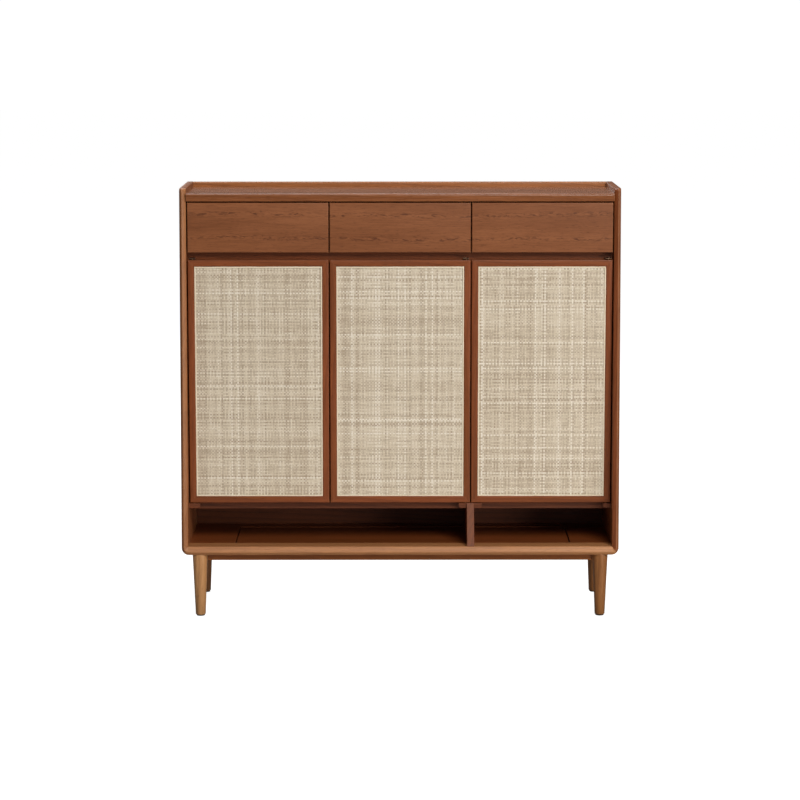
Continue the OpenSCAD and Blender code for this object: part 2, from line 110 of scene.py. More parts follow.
def lacquered_wood(name, along, shift, pale, middle, dark, figure=0.5, arris_highlight=0.0,
                   dullness=0.40, flecks=()):
    """Planed or turned hardwood, sanded, under a stain and a sprayed satin lacquer.

    The eye sees long fibre streaks, wider growth figure that wanders slowly, and a soft sheen that the
    fibres break up. along is the grain's axis, shift moves the pattern so that boards differ, figure is
    how strongly the growth lines show, arris_highlight mixes the colour towards a pale tan as a painted
    highlight where light catches an arris, and dullness is the lacquer's roughness. flecks are heights
    where a growth line is cut so flat that it runs ragged.
    """
    material, output = new_material(name)
    t = material.node_tree
    spot = add(t, "ShaderNodeTexCoord").outputs["Object"]
    lie = add(t, "ShaderNodeMapping", {"Vector": spot, "Location": shift, "Rotation": GRAIN_TURN[along]})
    slow = add(t, "ShaderNodeMapping", {"Vector": lie.outputs[0], "Scale": WANDER_SCALE})
    wander = add(t, "ShaderNodeTexNoise", {"Vector": slow.outputs[0], "Scale": 1.0, "Detail": 2.0})
    drift = add(t, "ShaderNodeVectorMath", {0: wander.outputs["Color"], 1: WANDER}, operation="MULTIPLY")
    bent = add(t, "ShaderNodeVectorMath", {0: lie.outputs[0], 1: drift.outputs[0]}, operation="ADD")
    broad_lie = add(t, "ShaderNodeMapping", {"Vector": bent.outputs[0], "Scale": DRIFT_SCALE})
    broad = add(t, "ShaderNodeTexNoise", {"Vector": broad_lie.outputs[0], "Scale": 1.0, "Detail": 3.0})
    ring_lie = add(t, "ShaderNodeMapping", {"Vector": bent.outputs[0], "Scale": RING_SCALE})
    rings = add(t, "ShaderNodeTexWave", {"Vector": ring_lie.outputs[0], "Scale": 1.0, "Distortion": 3.2,
                                         "Detail": 2.0, "Detail Scale": 0.8},
                wave_type="BANDS", bands_direction="DIAGONAL", wave_profile="SAW")
    fibre_lie = add(t, "ShaderNodeMapping", {"Vector": bent.outputs[0], "Scale": FIBRE_SCALE})
    fibres = add(t, "ShaderNodeTexNoise", {"Vector": fibre_lie.outputs[0], "Scale": 1.0, "Detail": 4.0,
                                           "Roughness": 0.6})
    pore_lie = add(t, "ShaderNodeMapping", {"Vector": bent.outputs[0], "Scale": PORE_SCALE})
    pores = add(t, "ShaderNodeTexNoise", {"Vector": pore_lie.outputs[0], "Scale": 1.0, "Detail": 1.0})
    pore_mask = add(t, "ShaderNodeMapRange", {"Value": pores.outputs["Fac"], "From Min": 0.60,
                                              "From Max": 0.72, "To Min": 0.0, "To Max": 0.55})
    broad_share = add(t, "ShaderNodeMapRange", {"Value": broad.outputs["Fac"], "From Min": 0.32,
                                                "From Max": 0.68})
    ring_share = add(t, "ShaderNodeMapRange", {"Value": rings.outputs["Fac"], "From Min": 0.45,
                                               "From Max": 1.0, "To Min": 0.0, "To Max": figure})
    tone = add(t, "ShaderNodeMix", {0: broad_share.outputs[0], 6: linear(middle), 7: linear(pale)},
               data_type="RGBA")
    lined = add(t, "ShaderNodeMix", {0: ring_share.outputs[0], 6: tone.outputs[2], 7: linear(dark)},
                data_type="RGBA")
    streak = add(t, "ShaderNodeMapRange", {"Value": fibres.outputs["Fac"], "From Min": 0.25,
                                           "From Max": 0.75, "To Min": 0.80, "To Max": 1.20})
    streaked = add(t, "ShaderNodeVectorMath", {0: lined.outputs[2], "Scale": streak.outputs[0]},
                   operation="SCALE")
    pored = add(t, "ShaderNodeMix", {0: pore_mask.outputs[0], 6: streaked.outputs[0], 7: linear(dark)},
                data_type="RGBA")
    colour = pored.outputs[2]
    for height in flecks:
        fleck_lie = add(t, "ShaderNodeMapping", {"Vector": bent.outputs[0], "Scale": FLECK_SCALE})
        ragged = add(t, "ShaderNodeTexNoise", {"Vector": fleck_lie.outputs[0], "Scale": 1.0, "Detail": 3.0,
                                               "Distortion": 1.2})
        level = add(t, "ShaderNodeSeparateXYZ", {0: bent.outputs[0]})
        away = add(t, "ShaderNodeMath", {0: level.outputs["Z"], 1: height}, operation="SUBTRACT")
        distance = add(t, "ShaderNodeMath", {0: away.outputs[0]}, operation="ABSOLUTE")
        near = add(t, "ShaderNodeMapRange", {"Value": distance.outputs[0], "From Min": FLECK_FULL,
                                             "From Max": FLECK_GONE, "To Min": 1.0, "To Max": 0.0})
        dark_spots = add(t, "ShaderNodeMapRange", {"Value": ragged.outputs["Fac"], "From Min": 0.52,
                                                   "From Max": 0.62, "To Min": 0.0, "To Max": 0.85})
        pale_spots = add(t, "ShaderNodeMapRange", {"Value": ragged.outputs["Fac"], "From Min": 0.48,
                                                   "From Max": 0.36, "To Min": 0.0, "To Max": 0.8})
        dark_share = add(t, "ShaderNodeMath", {0: dark_spots.outputs[0], 1: near.outputs[0]},
                         operation="MULTIPLY")
        pale_share = add(t, "ShaderNodeMath", {0: pale_spots.outputs[0], 1: near.outputs[0]},
                         operation="MULTIPLY")
        darker = add(t, "ShaderNodeMix", {0: dark_share.outputs[0], 6: colour, 7: linear(dark)},
                     data_type="RGBA")
        paler = add(t, "ShaderNodeMix", {0: pale_share.outputs[0], 6: darker.outputs[2], 7: linear(pale)},
                    data_type="RGBA")
        colour = paler.outputs[2]
    # Painted highlight: the colour is mixed towards the pale tan
    if arris_highlight:
        lifted = add(t, "ShaderNodeMix", {0: arris_highlight, 6: colour, 7: linear(ARRIS_HIGHLIGHT_TONE)},
                     data_type="RGBA")
        colour = lifted.outputs[2]
    sheen = add(t, "ShaderNodeMapRange", {"Value": fibres.outputs["Fac"], "From Min": 0.3,
                                          "From Max": 0.7, "To Min": dullness - 0.05,
                                          "To Max": dullness + 0.07})
    relief = add(t, "ShaderNodeMath", {0: fibres.outputs["Fac"], 1: pore_mask.outputs[0]},
                 operation="SUBTRACT")
    bump = add(t, "ShaderNodeBump", {"Height": relief.outputs[0], "Strength": 0.22,
                                     "Distance": FIBRE_RELIEF})
    surface = add(t, "ShaderNodeBsdfPrincipled", {"Base Color": colour, "Roughness": sheen.outputs[0],
                                                  "Normal": bump.outputs[0], "IOR": LACQUER_IOR})
    t.links.new(surface.outputs[0], output.inputs[0])
    return material


RATTAN = {"straw": "E0D5C0", "grey": "A8937B", "cream": "F8F2E6"}
# Lengths of a strand change colour over about 30 mm
LENGTH_SCALE = (34.0, 240.0, 240.0)
# Fibres along a strand, drawn 0.5 mm wide: real ones are half that and would not show
STRAND_FIBRE_SCALE = (90.0, 2000.0, 2000.0)
STRAND_RELIEF = 0.2 * MM
RATTAN_IOR = 1.5


def split_rattan(name, along):
    """Split rattan core, woven dry and left without varnish.

    The eye sees dull straw-coloured strands, each a little greyer or paler than the next, with darker
    lengths where the skin was near. along is the axis of the strands, and the strand attribute of the
    mesh makes a strand as a whole paler or greyer.
    """
    material, output = new_material(name)
    t = material.node_tree
    spot = add(t, "ShaderNodeTexCoord").outputs["Object"]
    lie = add(t, "ShaderNodeMapping", {"Vector": spot, "Rotation": GRAIN_TURN[along]})
    strand = add(t, "ShaderNodeAttribute", attribute_name="strand").outputs["Fac"]
    run_lie = add(t, "ShaderNodeMapping", {"Vector": lie.outputs[0], "Scale": LENGTH_SCALE})
    runs = add(t, "ShaderNodeTexNoise", {"Vector": run_lie.outputs[0], "Scale": 1.0, "Detail": 3.0})
    fibre_lie = add(t, "ShaderNodeMapping", {"Vector": lie.outputs[0], "Scale": STRAND_FIBRE_SCALE})
    fibres = add(t, "ShaderNodeTexNoise", {"Vector": fibre_lie.outputs[0], "Scale": 1.0, "Detail": 2.0})
    blend = add(t, "ShaderNodeMath", {0: runs.outputs["Fac"], 1: strand}, operation="ADD")
    grey_share = add(t, "ShaderNodeMapRange", {"Value": blend.outputs[0], "From Min": 0.98,
                                               "From Max": 1.40, "To Min": 0.0, "To Max": 0.75})
    cream_share = add(t, "ShaderNodeMapRange", {"Value": blend.outputs[0], "From Min": 0.95,
                                                "From Max": 0.60, "To Min": 0.0, "To Max": 0.9})
    grey = add(t, "ShaderNodeMix", {0: grey_share.outputs[0], 6: linear(RATTAN["straw"]),
                                    7: linear(RATTAN["grey"])}, data_type="RGBA")
    cream = add(t, "ShaderNodeMix", {0: cream_share.outputs[0], 6: grey.outputs[2],
                                     7: linear(RATTAN["cream"])}, data_type="RGBA")
    streak = add(t, "ShaderNodeMapRange", {"Value": fibres.outputs["Fac"], "From Min": 0.3,
                                           "From Max": 0.7, "To Min": 0.88, "To Max": 1.08})
    colour = add(t, "ShaderNodeVectorMath", {0: cream.outputs[2], "Scale": streak.outputs[0]},
                 operation="SCALE")
    dull = add(t, "ShaderNodeMapRange", {"Value": fibres.outputs["Fac"], "To Min": 0.5, "To Max": 0.72})
    bump = add(t, "ShaderNodeBump", {"Height": fibres.outputs["Fac"], "Strength": 0.4,
                                     "Distance": STRAND_RELIEF})
    surface = add(t, "ShaderNodeBsdfPrincipled", {"Base Color": colour.outputs[0],
                                                  "Roughness": dull.outputs[0],
                                                  "Normal": bump.outputs[0], "IOR": RATTAN_IOR})
    t.links.new(surface.outputs[0], output.inputs[0])
    return material


CANE = {"streak": "E2D2B2", "skin": "FBF4E4"}
# Streaks 1 mm wide and 60 mm long, along the upright and along the level strips of the border
CANE_UPRIGHT_SCALE = (900.0, 300.0, 17.0)
CANE_LEVEL_SCALE = (17.0, 300.0, 900.0)
CANE_RELIEF = 0.1 * MM
CANE_IOR = 1.5


def peeled_cane(name):
    """Peeled cane, the smooth skin of the rattan, glued in as a border.

    The eye sees a pale, slightly glossy strip with faint long streaks.
    """
    material, output = new_material(name)
    t = material.node_tree
    spot = add(t, "ShaderNodeTexCoord").outputs["Object"]
    upright = add(t, "ShaderNodeMapping", {"Vector": spot, "Scale": CANE_UPRIGHT_SCALE})
    level = add(t, "ShaderNodeMapping", {"Vector": spot, "Scale": CANE_LEVEL_SCALE})
    streaks_up = add(t, "ShaderNodeTexNoise", {"Vector": upright.outputs[0], "Scale": 1.0, "Detail": 2.0})
    streaks_level = add(t, "ShaderNodeTexNoise", {"Vector": level.outputs[0], "Scale": 1.0, "Detail": 2.0})
    both = add(t, "ShaderNodeMath", {0: streaks_up.outputs["Fac"], 1: streaks_level.outputs["Fac"]},
               operation="MULTIPLY")
    share = add(t, "ShaderNodeMapRange", {"Value": both.outputs[0], "From Min": 0.12, "From Max": 0.4})
    colour = add(t, "ShaderNodeMix", {0: share.outputs[0], 6: linear(CANE["streak"]),
                                      7: linear(CANE["skin"])}, data_type="RGBA")
    shine = add(t, "ShaderNodeMapRange", {"Value": both.outputs[0], "To Min": 0.34, "To Max": 0.5})
    bump = add(t, "ShaderNodeBump", {"Height": both.outputs[0], "Strength": 0.3,
                                     "Distance": CANE_RELIEF})
    surface = add(t, "ShaderNodeBsdfPrincipled", {"Base Color": colour.outputs[2],
                                                  "Roughness": shine.outputs[0],
                                                  "Normal": bump.outputs[0], "IOR": CANE_IOR})
    t.links.new(surface.outputs[0], output.inputs[0])
    return material


STEEL = {"dark": "6E5645", "light": "8A6E58"}
# Clouds 8 mm across and scuffs 1 mm across, in repeats a metre
STEEL_CLOUDS = 120.0
STEEL_SCUFFS = 900.0
STEEL_RELIEF = 0.05 * MM


def blackened_steel(name):
    """Pressed and turned mild steel, blackened thinly in a hot bath and oiled.

    The eye sees a dark, brownish metal with a soft, slightly cloudy shine and fine scuffs.
    """
    material, output = new_material(name)
    t = material.node_tree
    spot = add(t, "ShaderNodeTexCoord").outputs["Object"]
    clouds = add(t, "ShaderNodeTexNoise", {"Vector": spot, "Scale": STEEL_CLOUDS, "Detail": 2.0})
    scuffs = add(t, "ShaderNodeTexNoise", {"Vector": spot, "Scale": STEEL_SCUFFS, "Detail": 3.0})
    colour = add(t, "ShaderNodeMix", {0: clouds.outputs["Fac"], 6: linear(STEEL["dark"]),
                                      7: linear(STEEL["light"])}, data_type="RGBA")
    shine = add(t, "ShaderNodeMapRange", {"Value": scuffs.outputs["Fac"], "To Min": 0.24, "To Max": 0.5})
    bump = add(t, "ShaderNodeBump", {"Height": scuffs.outputs["Fac"], "Strength": 0.2,
                                     "Distance": STEEL_RELIEF})
    surface = add(t, "ShaderNodeBsdfPrincipled", {"Base Color": colour.outputs[2], "Metallic": 1.0,
                                                  "Roughness": shine.outputs[0],
                                                  "Normal": bump.outputs[0]})
    t.links.new(surface.outputs[0], output.inputs[0])
    return material


FELT = {"dark": "2A2420", "light": "4A423B"}
# Tufts 2 mm across, hairs 0.3 mm across, in repeats a metre
FELT_TUFTS = 500.0
FELT_HAIRS = 3000.0
FELT_RELIEF = 0.4 * MM
WOOL_IOR = 1.5


def pressed_felt(name):
    """Pressed wool felt, cut with a punch: dark, without any shine, with short matted hairs."""
    material, output = new_material(name)
    t = material.node_tree
    spot = add(t, "ShaderNodeTexCoord").outputs["Object"]
    tufts = add(t, "ShaderNodeTexNoise", {"Vector": spot, "Scale": FELT_TUFTS, "Detail": 3.0})
    hairs = add(t, "ShaderNodeTexNoise", {"Vector": spot, "Scale": FELT_HAIRS, "Detail": 2.0,
                                          "Distortion": 1.5})
    colour = add(t, "ShaderNodeMix", {0: tufts.outputs["Fac"], 6: linear(FELT["dark"]),
                                      7: linear(FELT["light"])}, data_type="RGBA")
    rough = add(t, "ShaderNodeMapRange", {"Value": hairs.outputs["Fac"], "To Min": 0.88, "To Max": 1.0})
    bump = add(t, "ShaderNodeBump", {"Height": hairs.outputs["Fac"], "Strength": 0.8,
                                     "Distance": FELT_RELIEF})
    surface = add(t, "ShaderNodeBsdfPrincipled", {"Base Color": colour.outputs[2],
                                                  "Roughness": rough.outputs[0], "Sheen Weight": 0.3,
                                                  "Normal": bump.outputs[0], "IOR": WOOL_IOR})
    t.links.new(surface.outputs[0], output.inputs[0])
    return material


ABS = {"dark": "2B1E17", "light": "3A2A20"}
# Grain 0.8 mm across and clouds 11 mm across, in repeats a metre
ABS_GRAIN = 1250.0
ABS_CLOUDS = 90.0
ABS_RELIEF = 0.1 * MM
ABS_IOR = 1.53


def moulded_abs(name):
    """Injection moulded ABS with a fine spark-eroded grain: dark brown, matt, evenly speckled."""
    material, output = new_material(name)
    t = material.node_tree
    spot = add(t, "ShaderNodeTexCoord").outputs["Object"]
    grain = add(t, "ShaderNodeTexVoronoi", {"Vector": spot, "Scale": ABS_GRAIN})
    cloud = add(t, "ShaderNodeTexNoise", {"Vector": spot, "Scale": ABS_CLOUDS, "Detail": 2.0})
    colour = add(t, "ShaderNodeMix", {0: cloud.outputs["Fac"], 6: linear(ABS["dark"]),
                                      7: linear(ABS["light"])}, data_type="RGBA")
    rough = add(t, "ShaderNodeMapRange", {"Value": grain.outputs["Distance"], "To Min": 0.45,
                                          "To Max": 0.6})
    bump = add(t, "ShaderNodeBump", {"Height": grain.outputs["Distance"], "Strength": 0.3,
                                     "Distance": ABS_RELIEF})
    surface = add(t, "ShaderNodeBsdfPrincipled", {"Base Color": colour.outputs[2],
                                                  "Roughness": rough.outputs[0],
                                                  "Normal": bump.outputs[0], "IOR": ABS_IOR})
    t.links.new(surface.outputs[0], output.inputs[0])
    return material


# Red-brown stain, with paler and darker copies for groups of boards, the lighter turned legs, and bare
# drawer wood
STAIN = {"pale": "985E38", "middle": "834D2A", "dark": "532912"}
DOOR_STAIN = {"pale": "8F4B25", "middle": "7B411A", "dark": "4C220D"}
GALLERY_STAIN = {"pale": "AC6D3A", "middle": "9C602F", "dark": "6A3A1B"}
# Paler, painted light: the base front and its crest take it for the light the pale floor throws up
BASE_STAIN = {"pale": "BE8656", "middle": "AE764A", "dark": "88522E"}
# Paler, painted light: it lifts the aprons, which sit in the shade under the base
APRON_STAIN = {"pale": "A25F25", "middle": "904F19", "dark": "69360F"}
# Paler, painted light on the left side's inner facet, which faces the key light
EDGE_STAIN = {"pale": "A86E40", "middle": "985F35", "dark": "744020"}
# Darker, painted shade: the boards inside the cabinet and in the niche, where shade falls
SHADED_INSIDE_STAIN = {"pale": "7A4120", "middle": "673216", "dark": "401B0A"}
LEG_STAIN = {"pale": "CB9865", "middle": "B98350", "dark": "80502B"}
# Darker, for the right front leg and, as painted shade, for the back legs
DARK_LEG_STAIN = {"pale": "A06B3B", "middle": "8A562C", "dark": "613717"}
BARE = {"pale": "D9BD93", "middle": "CDAC7E", "dark": "A98455"}

# The pattern of the drawer faces, and the heights in it where two growth lines cross each face: the
# board's own heights, raised by the shift and by the grain's mean wander
DRAWER_SHIFT = (0.3, 0.02, 0.11)
FLECK_LIFT = DRAWER_SHIFT[2] + WANDER[2] / 2
FLECK_SHARES = (0.30, 0.78)
drawer_lo, drawer_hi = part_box("drawer_left_front")
DRAWER_FLECKS = tuple(FLECK_LIFT + drawer_lo.z + (drawer_hi.z - drawer_lo.z) * share
                      for share in FLECK_SHARES)

# Each wood: material name, grain axis, shift of the pattern, stain, and what else sets it apart
WOODS = {
    "drawer_face": ("planed_stained_wood_drawer_faces", "x", DRAWER_SHIFT, STAIN,
                    {"figure": 0.05, "flecks": DRAWER_FLECKS}),
    "base_edge": ("planed_stained_wood_base_front", "x", (1.1, 0.8, 0.6), BASE_STAIN,
                  {"figure": 0.25, "dullness": 0.5}),
    "top": ("planed_stained_wood_top", "x", (0.7, 1.5, 1.1), STAIN, {"figure": 0.3, "dullness": 0.25}),
    "side_edge": ("planed_stained_wood_side_edges", "z", (1.4, 0.6, 1.9), EDGE_STAIN, {"figure": 0.25}),
    "board_y": ("planed_stained_wood_cross_boards", "y", (0.9, 1.3, 0.2), STAIN, {"figure": 0.25}),
    "board_z": ("planed_stained_wood_upright_boards", "z", (2.1, 0.7, 0.9), STAIN, {"figure": 0.22}),
    "stile": ("planed_stained_wood_door_stiles", "z", (0.6, 1.9, 0.3), DOOR_STAIN, {"figure": 0.3}),
    "rail": ("planed_stained_wood_door_rails", "x", (2.6, 1.1, 1.4), DOOR_STAIN, {"figure": 0.3}),
    "gallery": ("planed_stained_wood_gallery", "x", (0.9, 2.2, 0.5), GALLERY_STAIN, {"figure": 0.35}),
    "apron": ("planed_stained_wood_aprons", "x", (1.9, 0.3, 1.2), APRON_STAIN, {"figure": 0.3}),
    # The inside boards, the niche divider and the inside uprights take the darker stain: painted shade
    "inside": ("planed_stained_wood_inside_boards", "x", (0.2, 2.5, 1.8), SHADED_INSIDE_STAIN,
               {"figure": 0.4, "dullness": 0.5}),
    "niche_upright": ("planed_stained_wood_niche_divider", "z", (0.8, 1.1, 1.7), SHADED_INSIDE_STAIN,
                      {"figure": 0.3, "dullness": 0.6}),
    "inside_z": ("planed_stained_wood_inside_uprights", "z", (1.2, 0.4, 2.3), SHADED_INSIDE_STAIN, {"figure": 0.4}),
    # The arris and crest woods carry a painted highlight, mixed towards the pale tan
    "side_arris": ("planed_stained_wood_side_arris", "z", (1.4, 0.6, 1.9), EDGE_STAIN, {"arris_highlight": 0.25}),
    "base_arris": ("planed_stained_wood_base_arris", "x", (1.1, 0.8, 0.6), BASE_STAIN,
                   {"arris_highlight": 0.25, "dullness": 0.5}),
    "front_arris": ("planed_stained_wood_front_arris", "x", DRAWER_SHIFT, STAIN, {"arris_highlight": 0.5}),
    "arris_x": ("planed_stained_wood_level_arris", "x", (1.7, 0.5, 0.4), STAIN, {"arris_highlight": 0.3}),
    "arris_z": ("planed_stained_wood_upright_arris", "z", (2.1, 0.7, 0.9), STAIN, {"arris_highlight": 0.3}),
    "leg_left": ("turned_stained_wood_left_legs", "z", (0.4, 0.8, 0.1), LEG_STAIN,
                 {"figure": 0.35, "dullness": 0.36}),
    "leg_right": ("turned_stained_wood_right_legs", "z", (0.9, 1.7, 0.5), DARK_LEG_STAIN,
                  {"figure": 0.35, "dullness": 0.36}),
    "bare": ("planed_bare_wood_drawer_boxes", "y", (0.5, 0.9, 1.6), BARE, {"figure": 0.4, "dullness": 0.5}),
    "bare_x": ("planed_bare_wood_drawer_bottoms", "x", (1.5, 0.2, 0.6), BARE,
               {"figure": 0.4, "dullness": 0.5}),
}
finish = {}
for key, (material_name, along, shift, stain, settings) in WOODS.items():
    finish[key] = lacquered_wood(material_name, along, shift, **stain, **settings)
finish["warp"] = split_rattan("woven_split_rattan_upright", "z")
finish["weft"] = split_rattan("woven_split_rattan_level", "x")
finish["cane"] = peeled_cane("peeled_cane_border")
finish["steel"] = blackened_steel("blackened_steel")
finish["felt"] = pressed_felt("pressed_wool_felt_pads")
finish["abs"] = moulded_abs("moulded_abs_catches")


# ---- pieces ----

record = frame["record"]
BODY_OF = {n: body for body, members in record["behaviour"]["bodies"].items() for n in members}


def place(piece, node):
    """The piece stands for a CAD node: it moves with that node's body, and the node is hidden."""
    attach(piece, BODY_OF[node])
    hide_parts(node)
    return piece


def piece_from(name, mesh, *materials, crease=35):
    """A new object with its materials, smooth except at edges sharper than crease degrees."""
    for material in materials:
        mesh.materials.append(material)
    mesh.polygons.foreach_set("use_smooth", [True] * len(mesh.polygons))
    mesh.set_sharp_from_angle(angle=math.radians(crease))
    piece = bpy.data.objects.new(name, mesh)
    bpy.context.scene.collection.objects.link(piece)
    return piece


# Closer points are one, and faces that turn less than this are one
WELD = 0.01 * MM
FLAT = math.radians(0.5)
# Only edges sharper than this are eased; a bore's facets meet at less
SHARP = math.radians(38)
BOARD_CREASE = 15


def finished(node, face, arris, radius):
    """The CAD node's own shape with every sharp edge eased by a small radius."""
    shape = bmesh.new()
    shape.from_mesh(frame["nodes"][node].data)
    bmesh.ops.remove_doubles(shape, verts=shape.verts, dist=WELD)
    bmesh.ops.dissolve_limit(shape, angle_limit=FLAT, verts=shape.verts, edges=shape.edges)
    for f in shape.faces:
        f.material_index = 0
    sharp = [e for e in shape.edges if len(e.link_faces) == 2 and e.calc_face_angle(0) > SHARP]
    bmesh.ops.bevel(shape, geom=sharp, offset=radius * MM, segments=2, profile=0.5, affect="EDGES",
                    clamp_overlap=True, material=1)
    bmesh.ops.recalc_face_normals(shape, faces=shape.faces)
    mesh = bpy.data.meshes.new(node + "_finished")
    shape.to_mesh(mesh)
    shape.free()
    return place(piece_from(node + "_finished", mesh, face, arris, crease=BOARD_CREASE), node)


def loft(name, sections, strip_woods=()):
    """A solid through a row of sections with the same number of corners.

    strip_woods gives the material index of each of its first strips along the row.
    """
    count = len(sections[0])
    shape = bmesh.new()
    rows = [[shape.verts.new(p) for p in section] for section in sections]
    for low, high in zip(rows, rows[1:]):
        for k in range(count):
            n = (k + 1) % count
            face = shape.faces.new((low[k], low[n], high[n], high[k]))
            face.material_index = strip_woods[k] if k < len(strip_woods) else 0
    shape.faces.new(rows[0])
    shape.faces.new(rows[-1])
    bmesh.ops.recalc_face_normals(shape, faces=shape.faces)
    mesh = bpy.data.meshes.new(name)
    shape.to_mesh(mesh)
    shape.free()
    return mesh


# The shell: side panels and base front share one moulded front edge. Across is the share of the board's
# thickness from the outer face, back is how far that point lies behind the foremost line, in mm.
NOSE = [(0.0, 6.4), (0.03, 5.4), (0.10, 4.1), (0.20, 2.4), (0.30, 0.8), (0.35, 0.2), (0.39, 0.0),
        (0.44, 0.3), (0.60, 2.0), (0.80, 4.3), (0.95, 6.1), (1.0, 7.1)]
# The wood of each strip between those points: outer facet 1, crest 3 with a painted highlight, inner facet
# 2
NOSE_STRIPS = (1, 1, 1, 1, 3, 3, 2, 2, 2, 2, 2)
# The wood of each side's faces, outer facet, inner facet and crest. The left inner facet, which faces the
# key light, takes a paler stain as painted light; the right inner facet, which faces away from it, takes
# the darker door stain as painted shade; the crests carry painted highlights.
SIDE_WOODS = {"side_left": ("board_z", "board_z", "side_edge", "side_arris"),
              "side_right": ("board_z", "board_z", "stile", "arris_z")}
# Radii of the rounded lower corner, of the ear at the top of the front edge, and of its eased top
CORNER_R = 20 * MM
EAR_R = 10 * MM
EAR_ARRIS = 1.4 * MM
# The two back edges are eased too, given as across and how far in front of the back face
BACK_EASE = 1.2 * MM
BACK_NOSE = ((1.0, BACK_EASE), (0.93, 0.0), (0.07, 0.0), (0.0, BACK_EASE))
CORNER_STEPS = 7
SIDE_STEPS = 12
EAR_STEPS = 6

side_lo, side_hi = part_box("side_left")
rail_lo, rail_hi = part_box("base_front")
half_w = -side_lo.x
inner_x = -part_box("top_panel")[0].x
side_t = half_w - inner_x
base_low = rail_lo.z
base_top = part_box("base_rear")[1].z
# How far the front edge leans back over the height of the side
RAKE = 51 * MM
slope = math.atan2(RAKE, side_hi.z - base_top)


def front_line(z):
    """Y of the side panels' front edge at a height: upright at the base, then leaning back to the ear."""
    ear_start = side_hi.z - EAR_R + EAR_R * math.sin(slope)
    lean = side_lo.y + RAKE * max(0.0, min(z, ear_start) - base_top) / (side_hi.z - base_top)
    if z <= ear_start:
        return lean
    centre_y = lean + EAR_R * math.cos(slope)
    rise = min(EAR_R, z - (side_hi.z - EAR_R))
    return centre_y - math.sqrt(EAR_R * EAR_R - rise * rise)


def shell_section(outer, inner, y_front, y_back, inset=0.0):
    """One section of the shell between an outer and an inner point, each a vector (x, z).

    inset draws every edge of the section in, for the eased top of an ear.
    """
    points = []
    for across, back in NOSE:
        share = min(max(across, inset / side_t), 1 - inset / side_t)
        spot = outer.lerp(inner, share)
        points.append((spot.x, y_front + back * MM, spot.y))
    for across, back in BACK_NOSE:
        share = min(max(across, inset / side_t), 1 - inset / side_t)
        spot = outer.lerp(inner, share)
        points.append((spot.x, y_back - back - inset, spot.y))
    return points


corner = Vector((-half_w + CORNER_R, base_low + CORNER_R))
# Where the mitre between side and base meets the rounded corner: a quadratic in the share of its length
mitre_from = Vector((-inner_x, base_top))
mitre_to = Vector((-half_w, base_low))
step = mitre_to - mitre_from
offset = mitre_from - corner
a = step.dot(step)
b = 2 * step.dot(offset)
c = offset.dot(offset) - CORNER_R ** 2
mitre_end = mitre_from + step * ((-b + math.sqrt(b * b - 4 * a * c)) / (2 * a))
mitre_angle = math.atan2(corner.y - mitre_end.y, corner.x - mitre_end.x)


def corner_point(angle):
    """A point of the rounded lower left corner, from 0 (on the side) to 90 degrees (underneath)."""
    return corner + Vector((-math.cos(angle), -math.sin(angle))) * CORNER_R


def build_side(name, sign):
    """A side panel from the mitre up to its ear; sign is -1 for the left one."""
    stations = []
    for i in range(CORNER_STEPS, 0, -1):
        stations.append((corner_point(mitre_angle * i / CORNER_STEPS), mitre_from, side_lo.y, 0.0))
    heights = [base_top + (side_hi.z - EAR_R - base_top) * i / SIDE_STEPS for i in range(SIDE_STEPS + 1)]
    for i in range(1, EAR_STEPS + 1):
        heights.append(side_hi.z - EAR_R + EAR_R * math.sin(math.radians(90 / EAR_STEPS * i)))
    for z in heights:
        over = max(0.0, z - (side_hi.z - EAR_ARRIS))
        inset = EAR_ARRIS - math.sqrt(max(0.0, EAR_ARRIS ** 2 - over ** 2))
        stations.append((Vector((-half_w, z)), Vector((-inner_x, z)), front_line(z), inset))
    sections = []
    for outer, inner, y, inset in stations:
        section = shell_section(outer, inner, y, side_hi.y, inset)
        sections.append([(-sign * x, y, z) for x, y, z in section])
    mesh = loft(name + "_board", sections, NOSE_STRIPS)
    woods = SIDE_WOODS[name]
    return place(piece_from(name + "_board", mesh, *[finish[wood] for wood in woods]), name)


def build_base_front():
    """The front rail of the base, between the two mitres, with the shell's moulded edge."""
    left = []
    for i in range(CORNER_STEPS + 1):
        angle = mitre_angle + (math.pi / 2 - mitre_angle) * i / CORNER_STEPS
        left.append((corner_point(angle), mitre_from))
    right = [(Vector((-o.x, o.y)), Vector((-n.x, n.y))) for o, n in reversed(left)]
    sections = [shell_section(o, n, rail_lo.y, rail_hi.y) for o, n in left + right]
    mesh = loft("base_front_board", sections, NOSE_STRIPS)
    # The base front's edge takes the paler base stain as painted light, and its crest a painted highlight
    woods = (finish["base_edge"], finish["base_edge"], finish["base_edge"], finish["base_arris"])
    return place(piece_from("base_front_board", mesh, *woods), "base_front")


build_side("side_left", -1)
build_side("side_right", 1)
build_base_front()

# Boards that keep their CAD shape: (face finish, arris finish, arris radius in mm)
FLOOR_X = ("rail", "rail", 0.8)
